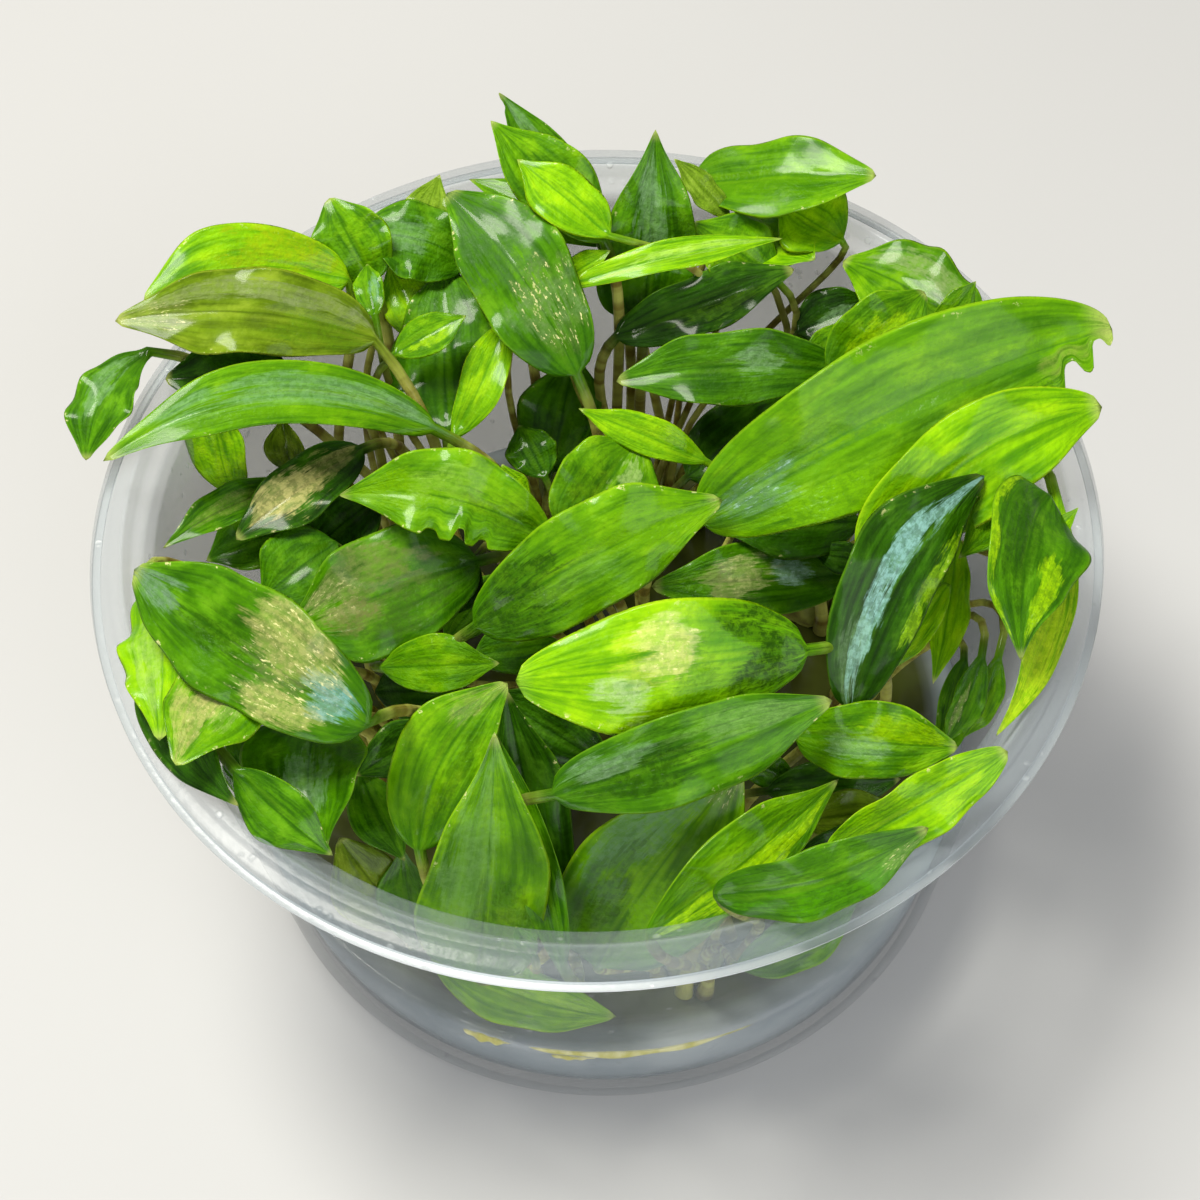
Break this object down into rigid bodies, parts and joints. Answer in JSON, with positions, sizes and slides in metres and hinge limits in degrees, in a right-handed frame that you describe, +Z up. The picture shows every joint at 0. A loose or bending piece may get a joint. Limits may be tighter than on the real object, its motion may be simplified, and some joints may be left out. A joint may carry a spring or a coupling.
{
  "type": "tissue culture cryptocoryne in an open cup",
  "caption": "Small broad-leaved aquarium plants crowded in clear gel in an open frosted plastic cup, their leaves rising over the rim",
  "frame": {"origin": "centre of the underside of the cup's base", "axes": "+Z up along the axis of the cup, -Y towards the side that the picture is taken from, X across it"},
  "size_m": [0.1044, 0.1, 0.068],
  "materials": {
    "cup": "frosted, translucent",
    "gel": "clear jelly",
    "crown": "satin plant stem",
    "leaf_bright": "wet, glossy leaf",
    "leaf_fresh": "wet, glossy leaf",
    "leaf_mid": "wet, glossy leaf",
    "leaf_dark": "wet, glossy leaf",
    "leaf_olive": "wet, glossy leaf",
    "leaf_pale": "wet, glossy leaf"
  },
  "bodies": {
    "root": {"cup": "cup", "gel": "gel", "plantlet_1_crown": "crown", "plantlet_2_crown": "crown", "plantlet_3_crown": "crown", "plantlet_4_crown": "crown", "plantlet_5_crown": "crown", "plantlet_6_crown": "crown", "plantlet_7_crown": "crown", "plantlet_8_crown": "crown", "plantlet_9_crown": "crown", "plantlet_1_leaf_1": "leaf_olive", "plantlet_1_leaf_2": "leaf_dark", "plantlet_1_leaf_3": "leaf_olive", "plantlet_1_leaf_4": "leaf_pale", "plantlet_1_leaf_5": "leaf_bright", "plantlet_1_leaf_6": "leaf_dark", "plantlet_1_leaf_7": "leaf_pale", "plantlet_2_leaf_1": "leaf_mid", "plantlet_2_leaf_2": "leaf_bright", "plantlet_2_leaf_3": "leaf_pale", "plantlet_2_leaf_4": "leaf_mid", "plantlet_2_leaf_5": "leaf_fresh", "plantlet_3_leaf_1": "leaf_mid", "plantlet_3_leaf_2": "leaf_fresh", "plantlet_3_leaf_3": "leaf_fresh", "plantlet_3_leaf_4": "leaf_pale", "plantlet_3_leaf_5": "leaf_mid", "plantlet_3_leaf_6": "leaf_mid", "plantlet_3_leaf_7": "leaf_bright", "plantlet_4_leaf_1": "leaf_dark", "plantlet_4_leaf_2": "leaf_bright", "plantlet_4_leaf_3": "leaf_bright", "plantlet_5_leaf_1": "leaf_pale", "plantlet_5_leaf_2": "leaf_bright", "plantlet_5_leaf_3": "leaf_fresh", "plantlet_5_leaf_4": "leaf_mid", "plantlet_6_leaf_1": "leaf_dark", "plantlet_6_leaf_2": "leaf_bright", "plantlet_6_leaf_3": "leaf_fresh", "plantlet_6_leaf_4": "leaf_dark", "plantlet_6_leaf_5": "leaf_fresh", "plantlet_6_leaf_6": "leaf_mid", "plantlet_6_leaf_7": "leaf_fresh", "plantlet_7_leaf_1": "leaf_dark", "plantlet_7_leaf_2": "leaf_dark", "plantlet_7_leaf_3": "leaf_mid", "plantlet_7_leaf_4": "leaf_mid", "plantlet_7_leaf_5": "leaf_mid", "plantlet_7_leaf_6": "leaf_dark", "plantlet_8_leaf_1": "leaf_dark", "plantlet_8_leaf_2": "leaf_fresh", "plantlet_8_leaf_3": "leaf_bright", "plantlet_8_leaf_4": "leaf_fresh", "plantlet_8_leaf_5": "leaf_bright", "plantlet_8_leaf_6": "leaf_mid", "plantlet_9_leaf_1": "leaf_bright", "plantlet_9_leaf_2": "leaf_fresh", "plantlet_9_leaf_3": "leaf_dark", "plantlet_9_leaf_4": "leaf_bright"}
  },
  "joints": []
}
